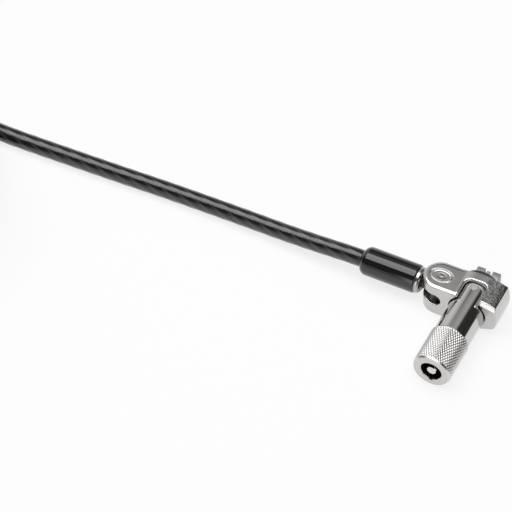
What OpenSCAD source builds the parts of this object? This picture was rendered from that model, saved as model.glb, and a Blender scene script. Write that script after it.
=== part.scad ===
// Laptop cable lock: a keyed barrel in a pivoting lock body on a sleeved steel cable.
// The origin lies on the lock axis, in the gasket face that rests on the laptop's wall.
// +Y goes into the laptop's security slot, +Z is up, and the cable leaves towards -X.

/* [Lock body] */
// Height of the lock body, from the table to the flat top
body_height = 10; // [9.8:0.1:11]
// Depth of the lock body, from its front face to the gasket
body_depth = 8.5; // [8.3:0.1:9.2]
// Distance from the lock axis to the axis that the head pivots about
lobe_offset = 8.9; // [8.8:0.1:9.6]
// Thickness of the rubber gasket
gasket_thickness = 1.1; // [0.8:0.1:1.5]
// Diameter of the rubber gasket
gasket_diameter = 9.9; // [9.4:0.1:9.9]

/* [Barrel] */
// Diameter of the smooth barrel tube
barrel_diameter = 9.4; // [9.3:0.1:9.5]
// Diameter over the knurled grip
grip_diameter = 10; // [9.9:0.1:10.2]
// Length of the knurled grip
grip_length = 11; // [10:0.5:12]
// Distance that the barrel stands out of the body's front face
barrel_reach = 20.3; // [19.5:0.1:22]
// Diameter of the round keyway
keyway_diameter = 5.5; // [5.3:0.1:5.7]
// Diameter of the post in the middle of the keyway
post_diameter = 2.3; // [2.1:0.1:2.5]

/* [Tip] */
// Length of the claws in front of the gasket
claw_reach = 3.9; // [3.6:0.1:4.4]
// Height of the claws
claw_height = 2.8; // [2.6:0.1:2.9]
// Distance that each claw slides outwards when the key is turned
claw_travel = 0.6; // [0.4:0.1:0.6]
// Angle that the key turns through
key_angle = 90; // [80:5:90]

/* [Cable] */
// Diameter of the coated cable
cable_diameter = 4.4; // [4.2:0.1:4.6]
// Diameter of the sleeve over the cable's end
sleeve_diameter = 7.3; // [7.1:0.1:7.5]
// Length of the sleeve
sleeve_length = 15.2; // [14.5:0.1:17]

/* [Hidden] */

$fn = 64;
past = 1;           // how far a cut runs past the face that it opens
running = 0.05;     // radial clearance of what turns in its bearing
sliding = 0.1;      // clearance of what slides past a flat face

// Lock body: stations along Y, the section in X and Z
half_height = body_height / 2;
body_back = -gasket_thickness;
body_front = body_back - body_depth;
body_mid = (body_back + body_front) / 2;
back_wall = 1.4;
seat_y = body_back - back_wall;
seat_radius = 4.95;
brow_depth = 1.3;          // how far the wall arches forward over the barrel's end
window_back_y = seat_y - brow_depth;
lobe_radius = body_depth / 2;
lobe_x = -lobe_offset;
top_chamfer = 0.45;
window_left_x = -2.75;
window_right_x = 3;
window_corner = 1.3;
crown_left_x = -5.2;       // here the crown's rim comes out of the lobe's chamfer
crown_radius = 17.1;
crown_x = 0.75;
crown_z = half_height + 0.57;
side_radius = 12.4;
side_x = 7.85;
side_z = 0.62;
underside_x = 2.8;
underside_slope = 24.5;
bevel_start_z = half_height - 0.5;
bevel_slope = 15.3;
bevel_pitch = 55;
bevel_length = 7;

// Pivot of the head on the stem
cavity_radius = 3;
cavity_height = 3.5;
eye_radius = cavity_radius - 0.25;
eye_height = cavity_height - 2 * sliding;
pivot_radius = 1.2;
pivot_top_z = 3.4;
stem_radius = 1.6;

// Barrel: stations along Y, from the front face back to the seat
grip_radius = grip_diameter / 2;
tube_radius = barrel_diameter / 2;
grip_front = body_front - barrel_reach;
grip_back = grip_front + grip_length;
grip_chamfer = 0.25;
core_radius = 4.2;
cap_thickness = 1.2;
cap_radius = 4.5;
cap_back = grip_front + cap_thickness;
keyway_radius = keyway_diameter / 2;
post_radius = post_diameter / 2;
post_recess = 0.3;
plug_front = grip_front + 3.9;
plug_length = 3.5;
plug_radius = 3.2;
case_radius = plug_radius + running;
shear_y = plug_front + plug_length;
block_front = shear_y + running;
block_back = block_front + 5;
pin_count = 7;
pin_radius = 0.42;
pin_hole_radius = pin_radius + 0.08;
pin_circle = (keyway_radius + post_radius) / 2;
driver_length = 1.85;
spring_end_y = block_back - 0.5;
collar_length = 0.8;

// Tip: the guide, the cam and the claws, forward from the barrel's hollow rear end
hollow_radius = tube_radius - 0.8;
guide_back = seat_y - 4.2;
claw_tail = guide_back - 0.7;
cam_front = claw_tail - sliding;
cam_thickness = 1.2;
cam_back = cam_front - cam_thickness;
clip_gap = sliding;
clip_thickness = 0.35;
clip_back = cam_back - clip_gap - clip_thickness;
hollow_back = clip_back - sliding;
claw_half_height = claw_height / 2;
claw_inner_x = 0.95;
claw_shank_x = 2.5;
claw_hook_x = 3.1;
hook_start = 1.5;
blade_half_width = 0.45;
blade_reach = claw_reach - 0.5;
web_half_width = claw_inner_x - sliding;
claw_window_x = claw_shank_x + claw_travel + 0.15;
claw_window_half_height = claw_half_height + sliding;
peg_radius = 0.35;
peg_x = (claw_inner_x + claw_shank_x) / 2;
peg_length = cam_thickness;
barrel_pin_radius = 0.95;
barrel_pin_y = guide_back + 1.45;
barrel_pin_foot_z = claw_window_half_height + 0.9;
barrel_pin_dome = 0.2;

// Spindle from the plug to the cam
spindle_radius = 0.9;
spindle_seat = 2;
groove_radius = 0.65;
clip_radius = 1.5;
journal_radius = 0.4;
journal_length = 0.9;

// The slot in the cam is a round one whose centre lies off the lock axis, so that a turn of the
// key moves the peg outwards by the claw's travel, and back again
cam_radius = 3.2;
cam_slot_clearance = 0.06;
cam_half_turn = key_angle / 2;
cam_offset = claw_travel / (2 * sin(cam_half_turn));
cam_mid_x = peg_x + claw_travel / 2;
cam_slot_radius = norm([cam_mid_x, cam_offset * cos(cam_half_turn)]);
cam_slot_margin = 20;

// Cable: the sleeved end and the free stretch
cable_radius = cable_diameter / 2;
rest_z = cable_radius - half_height;
sleeve_radius = sleeve_diameter / 2;
sleeve_offset = 5.8;
sleeve_right_x = lobe_x - sleeve_offset;
sleeve_left_x = sleeve_right_x - sleeve_length;
sleeve_rounding = 0.8;
ring_width = 0.5;
ring_radius = sleeve_radius - 0.15;
ferrule_radius = 3;
ferrule_left_x = sleeve_left_x + 2.9;
ferrule_wall = 0.9;
swivel_room = 2;
swivel_left_x = sleeve_right_x - ferrule_wall - swivel_room;
cable_seat_x = swivel_left_x - 0.8;
stem_head_radius = 2.2;
stem_head_room = 0.2;
cable_y = body_mid;
cable_sides = 10;
long_step = 1.4 * cable_diameter;     // a longer step of a route gets a ring in its middle

// Coil: four layers of turns that spiral in and out again, tied in two places
coil_pitch = cable_diameter + 0.5;
coil_layers = 4;
rings_per_turn = 24;
coil_rings = 254;
layer_rings = coil_rings / coil_layers;
climb_rings = rings_per_turn / 2;
coil_sides = 6;
coil_mid_radius = 24.1;
coil_outer_radius = coil_mid_radius + coil_pitch * layer_rings / rings_per_turn / 2;
coil_start_angle = 90;
tie_thickness = 0.7;
tie_slack = 0.1;
tie_arc = 24;
tie_angles = [33, 213];
coil_base_z = tie_thickness + tie_slack + rest_z;
coil_x = -155.5;
table_run_y = -5.7;
coil_y = table_run_y - coil_outer_radius;
coil_top_z = coil_base_z + (coil_layers - 1) * coil_pitch;
end_straight = cable_diameter;
lead_in = 3;

// Route of the free stretch, from the sleeve to the coil: it sinks to the table and lies on it
run_points = [
    [sleeve_left_x, cable_y, 0],
    [sleeve_left_x - 2.3, cable_y, 0],
    [sleeve_left_x - 4.6, cable_y, -0.1],
    [-43, -5.1, -1],
    [-52, -4.7, -1.9],
    [-61, -4.4, -2.4],
    [-71, -4.3, rest_z + 0.1],
    [-84, -4.5, rest_z],
    [-98, -5, rest_z],
    [-112, -5.4, rest_z],
    [-126, table_run_y, rest_z],
    [-137, table_run_y, rest_z + 0.3],
    [coil_x + end_straight + 2 * lead_in, table_run_y, coil_base_z],
    [coil_x + end_straight + lead_in, table_run_y, coil_base_z],
    [coil_x + end_straight, table_run_y, coil_base_z]
];

// Route of the tail over the coil: X and Y from the coil's centre, and the height above the coil's
// last turn. It climbs on to the coil, turns in, passes through the crimp, makes the anchor loop
// and comes back into the crimp.
tail_rise = 6.3;
crimp_length = 11;
crimp_heading = 160;
crimp_wall = 0.7;
strand_gap = 0.3;
crimp_clearance = 0.05;
crimp_mid = [15.4, 19.25];
along = [cos(crimp_heading), sin(crimp_heading)];
left_of = [-sin(crimp_heading), cos(crimp_heading)];
crimp_in = crimp_mid - along * crimp_length / 2;
crimp_out = crimp_mid + along * crimp_length / 2;
strand_shift = left_of * (cable_diameter + strand_gap);
coil_end_angle = coil_start_angle + coil_rings * 360 / rings_per_turn;
tail_start = coil_outer_radius * [cos(coil_end_angle), sin(coil_end_angle)]
    + end_straight * [-sin(coil_end_angle), cos(coil_end_angle)];
tail_heading = [-sin(coil_end_angle), cos(coil_end_angle)];

function flat_point(p, lift) = [p[0], p[1], lift];

tail_points = [
    flat_point(tail_start, 0),
    flat_point(tail_start + 2 * tail_heading, 0),
    flat_point(tail_start + 4 * tail_heading, 0.3),
    [27, -19, 2],
    [32, -13, 4.3],
    [35, -7, 5.9],
    [36.3, 0, tail_rise],
    [34, 8, tail_rise],
    [28.5, 13.8, tail_rise],
    flat_point(crimp_in - 2.5 * along, tail_rise),
    flat_point(crimp_in, tail_rise),
    flat_point(crimp_mid, tail_rise),
    flat_point(crimp_out, tail_rise),
    [6.3, 23.3, tail_rise],
    [2, 29.9, tail_rise],
    [-2.4, 36.5, tail_rise],
    [-9.7, 39.4, tail_rise],
    [-17.4, 37.6, tail_rise],
    [-22.7, 31.8, tail_rise],
    [-23.7, 23.9, tail_rise],
    [-20.1, 16.9, tail_rise],
    [-13.1, 13.2, tail_rise],
    [-5.3, 14.2, tail_rise],
    [2, 17, tail_rise],
    flat_point(crimp_out + strand_shift, tail_rise),
    flat_point(crimp_mid + strand_shift, tail_rise),
    flat_point(crimp_in + strand_shift + along, tail_rise)
];

// Springs behind the driver pins
spring_radius = 0.32;
spring_wire_radius = 0.07;
spring_turns = 4;
spring_rings_per_turn = 8;
spring_sides = 5;

metal_light = [0.82, 0.82, 0.84];
metal_dark = [0.55, 0.55, 0.58];
brass = [0.78, 0.66, 0.36];
black = [0.07, 0.07, 0.08];

// ---------- helpers ----------

// A flat outline in X and Z, drawn out along Y from y0 to y1
module y_prism(y0, y1) {
    translate([0, y1, 0])
        rotate([90, 0, 0])
            linear_extrude(height = y1 - y0)
                children();
}

module y_rod(y0, y1, r) {
    y_prism(y0, y1)
        circle(r);
}

// A flat outline in Y and Z, drawn out along X from x0 to x1
module x_prism(x0, x1) {
    translate([x0, 0, 0])
        rotate([90, 0, 90])
            linear_extrude(height = x1 - x0)
                children();
}

module x_rod(x0, x1, r) {
    translate([0, cable_y, 0])
        x_prism(x0, x1)
            circle(r);
}

module box(low, high) {
    translate(low)
        cube(high - low);
}

function unit(v) = v / norm(v);

function heading(path, i) = unit(path[min(i + 1, len(path) - 1)] - path[max(i - 1, 0)]);

function ring_points(path, i, r, sides) =
    let (t = heading(path, i), s = unit(cross(t, [0, 0, 1])), u = cross(s, t))
    [for (k = [0 : sides - 1]) path[i] + r * (cos(360 * k / sides) * s + sin(360 * k / sides) * u)];

// One unbroken tube along a path, closed at both ends
module tube(path, r, sides) {
    count = len(path);
    last = (count - 1) * sides;
    skin = [for (i = [0 : count - 1]) each ring_points(path, i, r, sides)];
    walls = [for (i = [0 : count - 2], k = [0 : sides - 1])
        let (a = i * sides + k, b = i * sides + (k + 1) % sides)
        each [[a, b, b + sides], [a, b + sides, a + sides]]];
    first_cap = [for (k = [1 : sides - 2]) [0, k + 1, k]];
    last_cap = [for (k = [1 : sides - 2]) [last, last + k, last + k + 1]];
    polyhedron(points = skin, faces = concat(walls, first_cap, last_cap), convexity = 10);
}

// The smooth curve through a route's points
function curve(a, b, c, d, t) =
    (2 * b + (c - a) * t + (2 * a - 5 * b + 4 * c - d) * t * t + (3 * b - a - 3 * c + d) * t * t * t) / 2;

function route_point(points, i) =
    i < 0 ? 2 * points[0] - points[1]
    : i >= len(points) ? 2 * points[len(points) - 1] - points[len(points) - 2]
    : points[i];

function smooth(points) = [
    for (i = [0 : len(points) - 2])
        let (a = route_point(points, i - 1), b = points[i], c = points[i + 1], d = route_point(points, i + 2),
            steps = norm(c - b) > long_step ? 2 : 1)
        each [for (k = [0 : steps - 1]) curve(a, b, c, d, k / steps)],
    points[len(points) - 1]
];

// ---------- cable ----------

function climbed(i, reversal) =
    max(0, min(1, (i - reversal * layer_rings + climb_rings / 2) / climb_rings));

function coil_radius(i) =
    let (layer = i / layer_rings, inward = layer - 2 * floor(layer / 2))
    coil_outer_radius - coil_pitch * layer_rings / rings_per_turn * (inward < 1 ? inward : 2 - inward);

function coil_point(i) =
    let (angle = coil_start_angle + i * 360 / rings_per_turn, r = coil_radius(i),
        lift = climbed(i, 1) + climbed(i, 2) + climbed(i, 3))
    [coil_x + r * cos(angle), coil_y + r * sin(angle), coil_base_z + coil_pitch * lift];

coil_path = concat(
    [coil_point(0) + [end_straight, 0, 0]],
    [for (i = [0 : coil_rings]) coil_point(i)],
    [coil_point(coil_rings) + end_straight * flat_point(tail_heading, 0)]
);

// Least gap between turns: every point against the segments near it on the turns beside and above
function segment_gap(p, a, b) =
    let (t = max(0, min(1, (p - a) * (b - a) / ((b - a) * (b - a)))))
    norm(p - a - t * (b - a)) - cable_diameter;

coil_gap = min([for (i = [0 : coil_rings - climb_rings], j = [i + climb_rings : coil_rings + 1])
    segment_gap(coil_path[i], coil_path[j], coil_path[j + 1])]);
echo(coil_gap = coil_gap);

module cable_run() {
    color(black)
        tube(smooth(run_points), cable_radius, cable_sides);
}

module cable_coil() {
    color(black)
        tube(coil_path, cable_radius, coil_sides);
}

tail_path = smooth(tail_points);

module cable_tail() {
    color(black)
        translate([coil_x, coil_y, coil_top_z])
            tube(tail_path, cable_radius, cable_sides);
}

module coil_ties() {
    low = coil_base_z - cable_radius - tie_slack;
    high = coil_top_z + cable_radius + tie_slack;
    inner = 2 * coil_mid_radius - coil_outer_radius - cable_radius - tie_slack;
    outer = coil_outer_radius + cable_radius + tie_slack;
    color([0.12, 0.12, 0.13])
        for (angle = tie_angles)
            translate([coil_x, coil_y, 0])
                rotate([0, 0, angle])
                    rotate_extrude(angle = tie_arc)
                        difference() {
                            translate([inner - tie_thickness, low - tie_thickness])
                                square([outer - inner + 2 * tie_thickness, high - low + 2 * tie_thickness]);
                            translate([inner, low])
                                square([outer - inner, high - low]);
                        }
}

module loop_ferrule() {
    half_shift = (cable_diameter + strand_gap) / 2;
    shell_radius = cable_radius + crimp_wall;
    bore_radius = cable_radius + crimp_clearance;
    color(metal_light)
        translate([coil_x + crimp_in[0], coil_y + crimp_in[1], coil_top_z + tail_rise])
            rotate([0, 0, crimp_heading])
                translate([0, half_shift, 0])
                    rotate([90, 0, 90])
                        linear_extrude(height = crimp_length)
                            difference() {
                                union() {
                                    for (side = [-1, 1])
                                        translate([side * half_shift, 0])
                                            circle(shell_radius);
                                    square([2 * half_shift, 2 * shell_radius], center = true);
                                }
                                for (side = [-1, 1])
                                    translate([side * half_shift, 0])
                                        circle(bore_radius);
                            }
}

module cable_sleeve() {
    color(black)
        difference() {
            union() {
                x_rod(sleeve_left_x + sleeve_rounding, sleeve_right_x, sleeve_radius);
                x_rod(sleeve_left_x, sleeve_right_x, sleeve_radius - sleeve_rounding);
                translate([sleeve_left_x + sleeve_rounding, cable_y, 0])
                    rotate([0, 90, 0])
                        rotate_extrude()
                            translate([sleeve_radius - sleeve_rounding, 0])
                                circle(sleeve_rounding);
            }
            x_rod(sleeve_left_x - past, sleeve_right_x, cable_radius);
            x_rod(ferrule_left_x, sleeve_right_x + past, ferrule_radius);
        }
}

module crimp_ferrule() {
    color(metal_dark)
        difference() {
            x_rod(ferrule_left_x, sleeve_right_x, ferrule_radius);
            x_rod(ferrule_left_x - past, cable_seat_x, cable_radius);
            x_rod(swivel_left_x, sleeve_right_x - ferrule_wall, stem_head_radius + stem_head_room);
            x_rod(swivel_left_x, sleeve_right_x + past, stem_radius + running);
        }
}

module cable_end() {
    color(black)
        x_rod(sleeve_left_x, cable_seat_x, cable_radius);
}

module ferrule_ring() {
    color(metal_light)
        difference() {
            x_rod(sleeve_right_x, sleeve_right_x + ring_width, ring_radius);
            x_rod(sleeve_right_x - past, sleeve_right_x + ring_width + past, stem_radius + running);
        }
}

// ---------- stem ----------

module swivel_stem() {
    color(metal_light)
        difference() {
            union() {
                translate([lobe_x, cable_y, -eye_height / 2])
                    cylinder(h = eye_height, r = eye_radius);
                x_rod(swivel_left_x + stem_head_room, lobe_x, stem_radius);
                x_rod(swivel_left_x + stem_head_room, sleeve_right_x - ferrule_wall - stem_head_room,
                    stem_head_radius);
            }
            translate([lobe_x, cable_y, -half_height])
                cylinder(h = body_height, r = pivot_radius + running);
        }
}

// ---------- lock body ----------

// The crown arches over the head, and the side bulges out below its crisp edge
module head_section() {
    difference() {
        intersection() {
            translate([crown_left_x, -half_height])
                square([side_x - crown_left_x, 2 * body_height]);
            translate([crown_x, crown_z - crown_radius])
                circle(crown_radius, $fn = 128);
            translate([side_x - side_radius, side_z])
                circle(side_radius, $fn = 128);
        }
        translate([underside_x, -half_height])
            rotate(underside_slope)
                translate([-past, -half_height])
                    square([3 * half_height, half_height]);
    }
}

// The flat part between the lobe and the crown, whose front edge is cut together with the crown's
module flat_depth_section() {
    polygon([
        [body_front, -half_height], [body_back, -half_height],
        [body_back, half_height - top_chamfer], [body_back - top_chamfer, half_height],
        [body_front, half_height]
    ]);
}

module front_chamfer() {
    translate([lobe_x, body_front, half_height - top_chamfer])
        rotate([45, 0, 0])
            translate([0, -past, 0])
                cube([lobe_offset, 4 * past, 3 * past]);
}

module window() {
    width = window_right_x - window_left_x;
    translate([window_left_x, window_back_y, -body_height])
        linear_extrude(2 * body_height) {
            translate([0, -body_depth])
                square([width, body_depth - window_corner]);
            translate([window_corner, -body_depth])
                square([width - 2 * window_corner, body_depth]);
            for (x = [window_corner, width - window_corner])
                translate([x, -window_corner])
                    circle(window_corner);
        }
}

module lobe() {
    translate([lobe_x, body_mid, -half_height]) {
        cylinder(h = body_height - top_chamfer, r = lobe_radius);
        translate([0, 0, body_height - top_chamfer])
            cylinder(h = top_chamfer, r1 = lobe_radius, r2 = lobe_radius - top_chamfer);
    }
}

// The stem swings a quarter turn in this slot, from -X round to -Y
module stem_slot() {
    slot_reach = lobe_radius + past;
    translate([lobe_x, body_mid, 0]) {
        translate([0, 0, -cavity_height / 2]) {
            cylinder(h = cavity_height, r = cavity_radius);
            translate([-slot_reach, -slot_reach, 0])
                cube([slot_reach, slot_reach, cavity_height]);
        }
        rotate([0, -90, 0])
            cylinder(h = slot_reach, r = cavity_height / 2);
        rotate([90, 0, 0])
            cylinder(h = slot_reach, r = cavity_height / 2);
    }
}

module lock_body() {
    color(metal_light)
        difference() {
            union() {
                x_prism(lobe_x, 0)
                    flat_depth_section();
                y_prism(body_front, body_back)
                    head_section();
                lobe();
            }
            front_chamfer();
            window();
            y_rod(body_front - past, seat_y, seat_radius);
            box([-claw_window_x, seat_y - past, -claw_window_half_height],
                [claw_window_x, body_back + past, claw_window_half_height]);
            stem_slot();
            translate([lobe_x, body_mid, -half_height - past])
                cylinder(h = half_height + past + pivot_top_z, r = pivot_radius);
            translate([window_right_x, body_front, bevel_start_z])
                rotate([0, bevel_slope, 0])
                    rotate([bevel_pitch, 0, 0])
                        translate([-past / 2, -bevel_length / 2, 0])
                            cube([bevel_length, bevel_length, bevel_length]);
        }
}

module pivot_pin() {
    color(metal_dark)
        translate([lobe_x, body_mid, -half_height])
            cylinder(h = half_height + pivot_top_z, r = pivot_radius);
}

// ---------- barrel ----------

module barrel_tube() {
    color(metal_light)
        difference() {
            union() {
                y_rod(cap_back, grip_back, core_radius);
                y_rod(grip_back, seat_y, tube_radius);
                y_rod(seat_y - collar_length, seat_y, seat_radius);
            }
            y_rod(cap_back - past, block_back, case_radius);
            y_rod(block_back, hollow_back, spindle_radius + running);
            y_rod(hollow_back, seat_y + past, hollow_radius);
            translate([0, barrel_pin_y, barrel_pin_foot_z])
                cylinder(h = body_height, r = barrel_pin_radius);
        }
}

module knurled_grip() {
    color(metal_light)
        difference() {
            union() {
                y_rod(grip_front + grip_chamfer, grip_back, grip_radius);
                translate([0, grip_front + grip_chamfer, 0])
                    rotate([90, 0, 0])
                        cylinder(h = grip_chamfer, r1 = grip_radius, r2 = grip_radius - grip_chamfer);
            }
            y_rod(cap_back - past, grip_back + past, core_radius);
            y_rod(grip_front - past, cap_back, cap_radius);
        }
}

module barrel_pin() {
    color(metal_dark)
        translate([0, barrel_pin_y, barrel_pin_foot_z]) {
            cylinder(h = tube_radius - barrel_pin_foot_z, r = barrel_pin_radius);
            translate([0, 0, tube_radius - barrel_pin_foot_z])
                cylinder(h = barrel_pin_dome, r1 = barrel_pin_radius, r2 = barrel_pin_radius - barrel_pin_dome);
        }
}

module face_cap() {
    collar_back = plug_front - sliding;
    notch_width = 0.9;
    notch_depth = 0.45;
    color(metal_light)
        difference() {
            union() {
                y_rod(grip_front, cap_back, cap_radius);
                y_rod(cap_back, collar_back, case_radius);
            }
            y_rod(grip_front - past, collar_back + past, keyway_radius);
            box([-notch_width / 2, grip_front - past, -keyway_radius - notch_depth],
                [notch_width / 2, cap_back, 0]);
        }
}

module pin_circle_places() {
    for (k = [0 : pin_count - 1])
        rotate([0, k * 360 / pin_count, 0])
            translate([0, 0, pin_circle])
                children();
}

module pin_block() {
    color(brass)
        difference() {
            y_rod(block_front, block_back, case_radius);
            y_rod(block_front - past, block_back + past, spindle_radius + running);
            pin_circle_places()
                y_rod(block_front - past, spring_end_y, pin_hole_radius);
        }
}

module driver_pins() {
    color(metal_light)
        pin_circle_places()
            y_rod(block_front, block_front + driver_length, pin_radius);
}

module driver_springs() {
    spring_start = block_front + driver_length;
    spring_length = spring_end_y - spring_start;
    count = spring_turns * spring_rings_per_turn;
    rise = spring_length - 2 * spring_wire_radius;
    helix = [for (i = [0 : count])
        let (angle = 360 * i / spring_rings_per_turn)
        [spring_radius * cos(angle), spring_radius * sin(angle), spring_wire_radius + rise * i / count]];
    color(metal_dark)
        pin_circle_places()
            translate([0, spring_start, 0])
                rotate([-90, 0, 0])
                    tube(helix, spring_wire_radius, spring_sides);
}

module tip_guide() {
    color(metal_dark)
        difference() {
            union() {
                y_rod(guide_back, seat_y, hollow_radius);
                box([-blade_half_width, seat_y, -claw_half_height],
                    [blade_half_width, blade_reach, claw_half_height]);
            }
            for (side = [0, 180])
                rotate([0, side, 0])
                    box([web_half_width, guide_back - past, -claw_window_half_height],
                        [claw_window_x, seat_y + past, claw_window_half_height]);
            y_rod(guide_back - past, guide_back + journal_length, journal_radius + running);
            translate([0, barrel_pin_y, barrel_pin_foot_z])
                cylinder(h = body_height, r = barrel_pin_radius);
        }
}

module gasket() {
    color(black)
        difference() {
            y_rod(body_back, 0, gasket_diameter / 2);
            box([-claw_window_x, body_back - past, -claw_window_half_height],
                [claw_window_x, past, claw_window_half_height]);
        }
}

// ---------- what the key turns ----------

module lock_plug() {
    nib_reach = 0.45;
    nib_width = 0.6;
    nib_angle = 40;
    color(brass)
        difference() {
            union() {
                y_rod(plug_front, shear_y, plug_radius);
                y_rod(grip_front + post_recess, plug_front, post_radius);
                rotate([0, -nib_angle, 0])
                    box([0, grip_front + post_recess, -nib_width / 2],
                        [post_radius + nib_reach, plug_front, nib_width / 2]);
            }
            pin_circle_places()
                y_rod(plug_front - past, shear_y + past, pin_hole_radius);
            y_rod(shear_y - spindle_seat, shear_y + past, spindle_radius);
        }
}

module key_pins() {
    color(metal_light)
        pin_circle_places() {
            y_rod(plug_front, shear_y, pin_radius);
            translate([0, plug_front, 0])
                sphere(pin_radius, $fn = 32);
        }
}

module drive_spindle() {
    color(metal_dark)
        difference() {
            union() {
                y_rod(shear_y - spindle_seat, cam_front, spindle_radius);
                y_rod(cam_front, guide_back + journal_length - sliding, journal_radius);
            }
            y_prism(clip_back, clip_back + clip_thickness)
                difference() {
                    circle(spindle_radius + past);
                    circle(groove_radius);
                }
        }
}

module cam_slot() {
    first = -cam_slot_margin;
    last = key_angle + cam_slot_margin;
    slot_half_width = peg_radius + cam_slot_clearance;
    intersection() {
        translate(cam_offset * [cos(90 + cam_half_turn), sin(90 + cam_half_turn)])
            difference() {
                circle(cam_slot_radius + slot_half_width);
                circle(cam_slot_radius - slot_half_width);
            }
        polygon([
            [0, 0], 2 * cam_radius * [cos(first), sin(first)],
            3 * cam_radius * [cos(cam_half_turn), sin(cam_half_turn)],
            2 * cam_radius * [cos(last), sin(last)]
        ]);
    }
}

module cam_disc() {
    color(metal_light)
        y_prism(cam_back, cam_front)
            difference() {
                circle(cam_radius);
                circle(spindle_radius);
                for (side = [0, 180])
                    rotate(side)
                        cam_slot();
            }
}

module spindle_clip() {
    opening = 1;
    color(metal_dark)
        y_prism(clip_back, clip_back + clip_thickness)
            difference() {
                circle(clip_radius);
                circle(groove_radius);
                translate([-opening / 2, -clip_radius - past])
                    square([opening, clip_radius + past]);
            }
}

// ---------- claws ----------

module claw() {
    box([claw_inner_x, claw_tail, -claw_half_height], [claw_shank_x, hook_start, claw_half_height]);
    box([claw_inner_x, hook_start, -claw_half_height], [claw_hook_x, claw_reach, claw_half_height]);
    translate([peg_x, 0, 0])
        y_rod(claw_tail - peg_length, claw_tail, peg_radius);
}

module claw_right() {
    color(metal_dark)
        claw();
}

module claw_left() {
    color(metal_dark)
        rotate([0, 180, 0])
            claw();
}

cable_run();
cable_coil();
cable_tail();
coil_ties();
loop_ferrule();
cable_sleeve();
crimp_ferrule();
cable_end();
ferrule_ring();
swivel_stem();
lock_body();
pivot_pin();
barrel_tube();
knurled_grip();
barrel_pin();
face_cap();
pin_block();
driver_pins();
driver_springs();
tip_guide();
gasket();
lock_plug();
key_pins();
drive_spindle();
cam_disc();
spindle_clip();
claw_left();
claw_right();
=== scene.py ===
"""Looks of the laptop cable lock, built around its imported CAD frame.

Sizes are in metres, unless a comment says mm, in the row's frame: the origin is on the lock axis at the
gasket's face, +Y goes into the laptop, +Z is up and the cable leaves towards -X."""

import math

import bmesh
import bpy
import numpy as np
from mathutils import Matrix, Vector


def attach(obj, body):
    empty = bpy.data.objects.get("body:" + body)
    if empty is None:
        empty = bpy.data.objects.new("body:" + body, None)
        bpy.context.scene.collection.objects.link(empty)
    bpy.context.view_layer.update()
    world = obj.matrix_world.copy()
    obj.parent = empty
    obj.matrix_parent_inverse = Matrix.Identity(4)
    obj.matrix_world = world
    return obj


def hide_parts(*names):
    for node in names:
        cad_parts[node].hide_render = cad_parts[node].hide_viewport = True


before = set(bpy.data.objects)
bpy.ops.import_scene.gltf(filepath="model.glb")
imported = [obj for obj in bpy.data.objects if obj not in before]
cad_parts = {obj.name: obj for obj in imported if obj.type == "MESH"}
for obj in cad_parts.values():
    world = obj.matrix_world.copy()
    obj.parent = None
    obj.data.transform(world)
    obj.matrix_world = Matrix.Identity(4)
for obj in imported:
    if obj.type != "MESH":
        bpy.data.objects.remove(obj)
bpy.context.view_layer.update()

MM = 0.001

# ---------- sizes that the pieces share ----------

# The lock body in mm: its back, front, middle and the barrel's seat along Y, half its height, and the axis
# on which the head pivots
BACK, FRONT, MID, SEAT = -1.1, -9.6, -5.35, -2.5
HALF = 5.0
LOBE_X = -8.9

FLOOR_Z = -HALF * MM
CABLE_D = 4.4 * MM
CABLE_R = CABLE_D / 2
GRIP_FRONT = -29.9 * MM
GRIP_BACK = -18.9 * MM
SLEEVE_LEFT = -29.9 * MM
SLEEVE_RIGHT = -14.7 * MM

# ---------- camera ----------

LOOK_AT = Vector((-51.996, -19.580, 5.014)) * MM
CAMERA_DISTANCE = 1.5
AZIMUTH, ELEVATION, ROLL = 26.955, 50.658, -0.960       # degrees
LENS = 432.67


def make_camera():
    """The photograph's view: from above, in front and a little to the right, through a long lens."""
    azimuth, elevation, roll = (math.radians(a) for a in (AZIMUTH, ELEVATION, ROLL))
    right = Vector((math.cos(azimuth), math.sin(azimuth), 0))
    back = Vector((
        math.sin(azimuth) * math.cos(elevation),
        -math.cos(azimuth) * math.cos(elevation),
        math.sin(elevation),
    ))
    up = back.cross(right)
    turned_right = math.cos(roll) * right + math.sin(roll) * up
    turned_up = back.cross(turned_right)
    data = bpy.data.cameras.new("camera")
    data.lens = LENS
    data.clip_start, data.clip_end = 0.1, 10
    camera = bpy.data.objects.new("camera", data)
    camera.matrix_world = Matrix.Translation(LOOK_AT + back * CAMERA_DISTANCE) @ Matrix((
        turned_right, turned_up, back)).transposed().to_4x4()
    bpy.context.scene.collection.objects.link(camera)
    bpy.context.scene.camera = camera


make_camera()

# ---------- nodes ----------


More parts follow.
